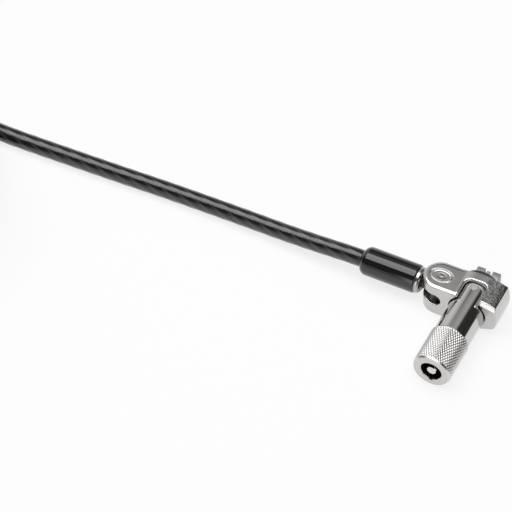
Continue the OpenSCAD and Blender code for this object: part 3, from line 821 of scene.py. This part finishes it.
def window_outline(x, y):
    """The window from above: open to the front, with round corners at its back."""
    across = np.maximum(WINDOW_LEFT - x, x - WINDOW_RIGHT) + WINDOW_CORNER
    deep = y - WINDOW_BACK + WINDOW_CORNER
    outside = np.hypot(np.maximum(across, 0), np.maximum(deep, 0))
    return outside + np.minimum(np.maximum(across, deep), 0) - WINDOW_CORNER


def pivot_slot(x, y, z):
    """The slot in the lobe in which the stem swings, from the left to the front."""
    rise = np.abs(z) - STEM_SLOT
    to_lobe = np.hypot(x - LOBE_X, y - MID)
    cavity = np.maximum(to_lobe - STEM_CAVITY, rise)
    quarter = np.maximum(np.maximum(x - LOBE_X, y - MID), rise)
    towards_left = np.maximum(np.hypot(y - MID, z) - STEM_SLOT, x - LOBE_X)
    towards_front = np.maximum(np.hypot(x - LOBE_X, z) - STEM_SLOT, y - MID)
    return np.minimum(np.minimum(quarter, cavity), np.minimum(towards_left, towards_front))


def badge_cut(x, y, z):
    """A plain oval badge in the lobe's top: a groove round it, and a slightly sunk rippled field inside."""
    across, deep = x - BADGE_X, y - BADGE_Y
    oval = (np.hypot(across / BADGE_LENGTH, deep / BADGE_WIDTH) - 1) * 2.2
    groove = np.maximum(np.abs(oval) - 0.14, GROOVE_FLOOR - z)
    ripple = 0.03 * np.cos(5.5 * np.hypot(across / 1.5, deep))
    field = np.maximum(oval + 0.5, FIELD_FLOOR + ripple - z)
    return np.minimum(groove, field)


def body_field(x, y, z):
    """Distance to the die-cast lock body, negative inside."""
    depth = smooth_max(FRONT - y, y - BACK, SOFT)
    to_lobe = np.hypot(x - LOBE_X, y - MID)
    solid = smooth_min(flat_part(x, y, z, depth, to_lobe), head_part(x, y, z, depth), 0.15)
    bevel = sum(n * (v - p) for n, v, p in zip(BEVEL_NORMAL, (x, y, z), BEVEL_POINT))
    solid = smooth_max(solid, bevel, CRISP)

    bore = np.maximum(np.hypot(x, z) - BARREL_HOLE, y - SEAT)
    claws = np.maximum(np.abs(x) - CLAW_HOLE_X, np.maximum(np.abs(z) - CLAW_HOLE_Z, SEAT - 1 - y))
    pin = np.maximum(to_lobe - PIN_HOLE, z - PIN_TOP)
    cuts = ((window_outline(x, y), 0.6), (bore, CRISP), (claws, 0.1), (pivot_slot(x, y, z), SOFT), (pin, 0.1),
            (badge_cut(x, y, z), 0.1))
    for cut, roundness in cuts:
        solid = smooth_max(solid, -cut, roundness)
    return np.maximum(solid, -HALF - z)


def gets_painted_shade(x, y, z):
    """Places in the stem's slot and deep in the bore, which get painted shade."""
    in_slot = abs(z) < STEM_SLOT - 0.02 and math.hypot(x - LOBE_X, y - MID) < LOBE_RADIUS - 0.4
    return in_slot or (math.hypot(x, z) < BARREL_HOLE + 0.03 and z < 3.4 and -8.3 < y < SEAT + 0.05)


def is_window_wall(x, y, z):
    """Places on the window's walls, below the crown."""
    in_window = WINDOW_LEFT - 0.1 < x < WINDOW_RIGHT + 0.1 and y < WINDOW_BACK + 0.1
    return in_window and 3.4 < z < 5.1 - 0.02 * (x - CROWN_X) ** 2


def paint(piece, material, chosen):
    """Gives material to the faces whose middle, in mm, is chosen."""
    piece.data.materials.append(material)
    number = len(piece.data.materials) - 1
    for polygon in piece.data.polygons:
        if chosen(*(polygon.center / MM)):
            polygon.material_index = number


def make_lock_body():
    """The die-cast body, plated outside, with painted shade in its slot and bore."""
    body = surface("lock_body_cast", body_field, BODY_LOW, BODY_HIGH, BODY_GRID, NICKEL)
    body.data.transform(Matrix.Scale(MM, 4))
    # Painted shade on the faces in the stem's slot and deep in the bore.
    paint(body, PAINTED_SHADE, gets_painted_shade)
    paint(body, SATIN_NICKEL, is_window_wall)
    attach(body, "head")
    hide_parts("lock_body")


make_lock_body()

# ---------- barrel ----------


def barrel_ring(along, radius, angles):
    """A ring of points round the lock axis. The angle is 0 at the top."""
    return np.stack([radius * np.sin(angles), np.full_like(angles, along), radius * np.cos(angles)], axis=1)


def make_barrel_tube():
    """The barrel's tube, with a round back end and a wider seat in the body's bore."""
    outer, seat_radius, inner, mouth = 4.7 * MM, 4.93 * MM, 3.9 * MM, 3.5 * MM
    front, ledge, end, seat_front = -18.92 * MM, -9.2 * MM, -3.35 * MM, -3.05 * MM
    edge, round_end, round_seat = 0.1 * MM, 0.45 * MM, 0.2 * MM
    profile = [(front, mouth), (front, outer - edge), (front + edge, outer)]
    profile += arc((end - round_end, outer - round_end), round_end, 90, 0, 8)
    profile += [(end, 4.2 * MM), (end + 0.1 * MM, 4.15 * MM)]
    profile += arc((seat_front, seat_radius - round_seat), round_seat, 180, 90, 5)
    profile += [(SEAT * MM, seat_radius), (SEAT * MM, inner), (ledge, inner), (ledge, mouth)]
    tube_piece = lathe("barrel_tube_turned", profile, TUBE_NICKEL, "Y", 144)
    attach(tube_piece, "head")
    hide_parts("barrel_tube")


def make_grip():
    """A diamond knurl: two sets of grooves cross, and small flat-topped diamonds stand between them."""
    outer, inner, cap_seat, cap_depth = 4.99 * MM, 4.2 * MM, 4.5 * MM, 1.2 * MM
    grooves, grooves_per_mm, depth, flat_share = 46, 0.85, 0.14 * MM, 0.12
    rim, front_rim, front_slope, edge = 0.3 * MM, 0.6 * MM, 0.53, 0.06 * MM
    fade_length = 0.5 * MM
    points_per_groove, step = ((8, 0.085 * MM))
    angles = full_circle(grooves * points_per_groove)

    rings = [(GRIP_FRONT, cap_seat), (GRIP_FRONT, outer - front_rim * front_slope - edge),
             (GRIP_FRONT + edge, outer - (front_rim - edge) * front_slope)]
    for along in np.arange(GRIP_FRONT + rim, GRIP_BACK - rim / 2, step):
        one = grooves * angles / (2 * math.pi) + grooves_per_mm * along / MM
        two = grooves * angles / (2 * math.pi) - grooves_per_mm * along / MM
        groove = np.maximum(np.abs(2 * (one % 1) - 1), np.abs(2 * (two % 1) - 1))
        cut = np.maximum(groove - flat_share, 0) / (1 - flat_share)
        to_front, to_back = along - GRIP_FRONT, GRIP_BACK - along
        knurled = outer - depth * cut * np.clip(to_back / fade_length, 0, 1)
        chamfer = max(0, front_rim - to_front) * front_slope + max(0, rim - to_back)
        rings.append((along, np.minimum(knurled, outer - chamfer)))
    rings += [(GRIP_BACK, outer - rim), (GRIP_BACK, inner), (GRIP_FRONT + cap_depth, inner),
              (GRIP_FRONT + cap_depth, cap_seat)]

    vertices = np.concatenate([barrel_ring(along, radius, angles) for along, radius in rings])
    faces = turned_over(ring_faces(len(rings), len(angles), closed=True))
    grip = add_object("grip_knurled", vertices, faces, GRIP_NICKEL, 28)
    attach(grip, "head")
    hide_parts("knurled_grip")


def make_face_cap():
    """The front ring round the keyway, with the notch that holds the key's nib."""
    outer, keyway, notch, notch_half_arc = 4.49 * MM, 2.75 * MM, 3.2 * MM, math.radians(9)
    front, back, collar_back, chamfer = GRIP_FRONT, GRIP_FRONT + 1.2 * MM, -26.1 * MM, 0.12 * MM
    angles = full_circle(180)
    from_bottom = np.abs(angles - math.pi)
    notched = np.where(from_bottom < notch_half_arc, notch, keyway)
    rings = [
        (front + 0.02 * MM, outer), (front, outer - 0.05 * MM), (front, notched + chamfer),
        (front + chamfer, notched), (back, notched), (back, keyway), (collar_back, keyway),
        (collar_back, notch), (back, notch + 0.02 * MM), (back, outer),
    ]
    vertices = np.concatenate([barrel_ring(along, radius, angles) for along, radius in rings])
    faces = ring_faces(len(rings), len(angles), closed=True)
    cap = add_object("face_cap_turned", vertices, faces, FACE_NICKEL, 30)
    # Painted shade on the keyway's inside faces.
    paint(cap, PAINTED_SHADE, lambda x, y, z: y > -29.7 and math.hypot(x, z) < 3.25)
    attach(cap, "head")
    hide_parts("face_cap")


def make_barrel_pin():
    """The pin whose flat head shows on top of the barrel, in the window."""
    radius, foot, top, edge, centre = 0.95 * MM, 2.4 * MM, 4.76 * MM, 0.05 * MM, 0.0001 * MM
    profile = [(foot, centre), (foot, radius), (top - edge, radius), (top, radius - edge), (top, centre)]
    pin = lathe("barrel_pin_turned", profile, PIN_NICKEL, "Z", 40, (0, -5.25 * MM, 0), 30)
    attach(pin, "head")
    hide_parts("barrel_pin")


make_barrel_tube()
make_grip()
make_face_cap()
make_barrel_pin()

# ---------- tip ----------

TIP_HALF_HEIGHT = 1.39
CLAW_INNER = 0.95
CLAW_SPANS = [(2.5, -7.4, 1.55), (3.1, 1.5, 3.88)]      # shank and hook in mm: outer side, back, front
BLADE_HALF_WIDTH, BLADE_BACK, BLADE_FRONT = 0.44, -2.4, 3.38


def make_claw(side):
    """One claw: the prong with its hook, and the shank that goes into the barrel."""
    name = "right" if side > 0 else "left"
    for number, (outer, start, end) in enumerate(CLAW_SPANS):
        near, far = sorted((side * CLAW_INNER, side * outer))
        low = (near * MM, start * MM, -TIP_HALF_HEIGHT * MM)
        high = (far * MM, end * MM, TIP_HALF_HEIGHT * MM)
        part = rounded_box(f"claw_{name}_part{number}", low, high, 0.14 * MM, CLAW_STEEL)
        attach(part, f"{name}_claw")
    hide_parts(f"claw_{name}")


def make_blade():
    """The fixed blade between the claws."""
    low = (-BLADE_HALF_WIDTH * MM, BLADE_BACK * MM, -TIP_HALF_HEIGHT * MM)
    high = (BLADE_HALF_WIDTH * MM, BLADE_FRONT * MM, TIP_HALF_HEIGHT * MM)
    blade = rounded_box("tip_blade", low, high, 0.12 * MM, CLAW_STEEL)
    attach(blade, "head")


make_claw(1)
make_claw(-1)
make_blade()

# ---------- CAD nodes that show as they are ----------

NODE_MATERIALS = {
    "loop_ferrule": CRIMP, "crimp_ferrule": STEEL, "cable_end": COATING,
    "swivel_stem": DARK_STEEL, "pivot_pin": STEEL, "pin_block": BRASS, "driver_pins": STEEL,
    "driver_springs": STEEL, "tip_guide": CLAW_STEEL, "gasket": RUBBER, "lock_plug": PLUG,
    "key_pins": STEEL, "drive_spindle": STEEL, "cam_disc": STEEL, "spindle_clip": STEEL,
}

for node_name, node_material in NODE_MATERIALS.items():
    node_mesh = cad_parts[node_name].data
    node_mesh.materials.clear()
    node_mesh.materials.append(node_material)

# ---------- floor, world and lights ----------

FLOOR_HALF_SIZE = 3.0
FLOOR_GLOW = 0.8        # the floor's own white, for the rays that see it

# Brightness of the wall behind the lock, by the direction's X
WALL = [(-1, 0.6), (-0.83, 0.68), (-0.69, 0.85), (-0.555, 0.67), (-0.39, 0.4), (-0.22, 0.36), (-0.05, 0.46),
        (0.12, 0.5), (0.22, 0.42), (0.34, 0.035), (1, 0.035)]


def seeing_rays(graph):
    """1 for camera, glossy and transmission rays, and 0 for the rays that light the object."""
    path = graph.nodes.new("ShaderNodeLightPath")
    total = path.outputs["Is Camera Ray"]
    for name in ("Is Glossy Ray", "Is Transmission Ray"):
        total = graph.calculate("MAXIMUM", total, path.outputs[name])
    return total


def make_floor():
    """A white floor that takes the object's shadow."""
    finish = Finish("floor_white", (0.88, 0.88, 0.88), 0.9)
    finish.fix("Specular IOR Level", 0)
    mix = finish.nodes.new("ShaderNodeMixShader")
    finish.link(finish.product(seeing_rays(finish), FLOOR_GLOW), mix.inputs["Fac"])
    finish.link(finish.shader.outputs[0], mix.inputs[1])
    finish.link(finish.nodes.new("ShaderNodeEmission").outputs[0], mix.inputs[2])
    finish.link(mix.outputs[0], finish.nodes["Material Output"].inputs["Surface"])
    corners = [(-1, -1), (1, -1), (1, 1), (-1, 1)]
    vertices = [(x * FLOOR_HALF_SIZE, y * FLOOR_HALF_SIZE, FLOOR_Z) for x, y in corners]
    floor = add_object("floor", vertices, [(0, 1, 2, 3)], finish.material)


def studio_behind(graph, x, z):
    """A wall that darkens to the right, with a dark flag before it and more light low on the left."""
    wall = graph.nodes.new("ShaderNodeValToRGB")
    stops = wall.color_ramp.elements
    while len(stops) < len(WALL):
        stops.new(0.5)
    for stop, (place, level) in zip(stops, WALL):
        stop.position = (place + 1) / 2
        stop.color = (level, level, level, 1)
    graph.link(graph.calculate("MULTIPLY_ADD", x, 0.5, 0.5), wall.inputs["Fac"])
    flag = graph.product(
        graph.rise(z, 0.36, 0.46), graph.rise(z, 0.74, 0.66),
        graph.rise(x, -0.45, -0.36), graph.rise(x, -0.1, -0.2))
    lit_wall = graph.product(wall.outputs["Color"], graph.calculate("MULTIPLY_ADD", flag, -0.75, 1))
    low_left = graph.product(graph.rise(z, 0.35, 0.15), graph.rise(x, 0.2, 0.0), 0.8)
    return graph.calculate("MAXIMUM", lit_wall, low_left)


def studio_in_front(graph, x, z):
    """White panels low in front, higher on the right half, with dark above them and at both sides."""
    high_panel = graph.product(graph.rise(z, 0.52, 0.42, 0.0, 1.8), graph.rise(x, -0.22, -0.1))
    panel = graph.calculate("MAXIMUM", graph.rise(z, 0.36, 0.26, 0.05, 0.6), high_panel)
    right_end = graph.rise(x, 0.62, 0.4, 0.04, 1)
    left_end = graph.rise(x, -0.78, -0.65, 0.04, 1)
    return graph.product(panel, right_end, left_end)


def make_world():
    """The studio, by direction. The camera itself sees plain white."""
    world = bpy.data.worlds.new("studio")
    world.use_nodes = True
    graph = Graph(world.node_tree)
    x, y, z = graph.split(graph.nodes.new("ShaderNodeTexCoord").outputs["Generated"])
    behind = graph.rise(y, -0.12, 0.12)
    level = graph.calculate(
        "ADD", graph.product(studio_behind(graph, x, z), behind),
        graph.product(studio_in_front(graph, x, z), graph.calculate("SUBTRACT", 1, behind)))
    seen = graph.nodes.new("ShaderNodeLightPath").outputs["Is Camera Ray"]
    background = graph.nodes["Background"]
    background.inputs["Color"].default_value = (1, 1, 1, 1)
    graph.link(graph.calculate("MAXIMUM", level, seen), background.inputs["Strength"])
    bpy.context.scene.world = world


def make_softbox(name, centre, size, radiance):
    """A rectangular softbox that faces down."""
    data = bpy.data.lights.new(name, "AREA")
    data.shape = "RECTANGLE"
    data.size, data.size_y = size
    data.energy = radiance * math.pi * size[0] * size[1]
    light = bpy.data.objects.new(name, data)
    light.location = centre
    light.visible_camera = False
    bpy.context.scene.collection.objects.link(light)


bpy.context.scene.view_settings.view_transform = "Standard"
make_floor()
make_world()
make_softbox("softbox_top", (-0.075, -0.023, 0.5), (0.75, 0.426), 3.0)
